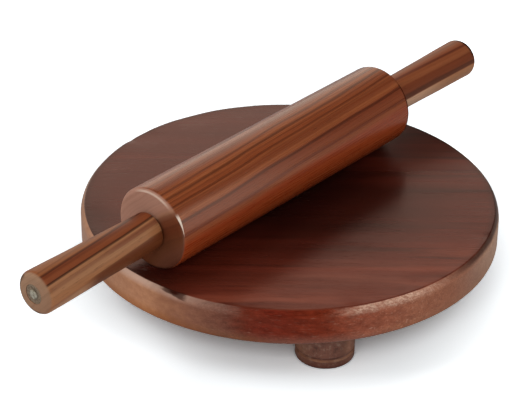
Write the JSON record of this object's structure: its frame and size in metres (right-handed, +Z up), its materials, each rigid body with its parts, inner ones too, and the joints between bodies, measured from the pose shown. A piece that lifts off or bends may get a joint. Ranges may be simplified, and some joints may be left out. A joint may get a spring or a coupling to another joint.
{
  "type": "chakla rolling board with belan rolling pin",
  "caption": "Round wooden rolling board on short turned feet, with a rolling pin whose barrel turns on an axle between two tapered handles.",
  "frame": {"origin": "on the table, below the middle of the belan's length and level with the board's axis", "axes": "+X along the belan towards its far handle, +Y the way the belan rolls across the board, +Z up"},
  "size_m": [0.3708, 0.24, 0.0918],
  "materials": {
    "board_wood": "polished dark red-brown hardwood with fine straight grain",
    "foot_wood": "turned dark brown hardwood, lightly oiled",
    "pin_wood": "polished orange-brown hardwood with dark stripes along the grain",
    "screw_steel": "plated wood screw",
    "axle_steel": "plain bar, peened bright at its ends",
    "washer_steel": "dull grey stamped washer",
    "bush_plastic": "off-white moulded sleeve"
  },
  "bodies": {
    "chakla": {"board": "board_wood", "foot_front": "foot_wood", "foot_right": "foot_wood", "foot_back": "foot_wood", "foot_screws": "screw_steel"},
    "belan_grip": {"axle": "axle_steel", "handle_left": "pin_wood", "handle_right": "pin_wood", "thrust_washer_left": "washer_steel", "thrust_washer_right": "washer_steel", "end_washer_left": "washer_steel", "end_washer_right": "washer_steel"},
    "belan_barrel": {"barrel": "pin_wood", "bush_left": "bush_plastic", "bush_right": "bush_plastic"}
  },
  "joints": [
    {"name": "belan_roll", "type": "slide", "parent": "chakla", "child": "belan_grip", "axis": [0, 1, 0], "range_m": [-0.09585, 0.08215]},
    {"name": "barrel_spin", "type": "hinge", "parent": "belan_grip", "child": "belan_barrel", "pos_m": [0, 0.00685, 0.06805], "axis": [-1, 0, 0], "continuous": true}
  ],
  "couplings": [
    {"joint": "barrel_spin", "follows": "belan_roll", "rad_per_m": 42.105}
  ]
}
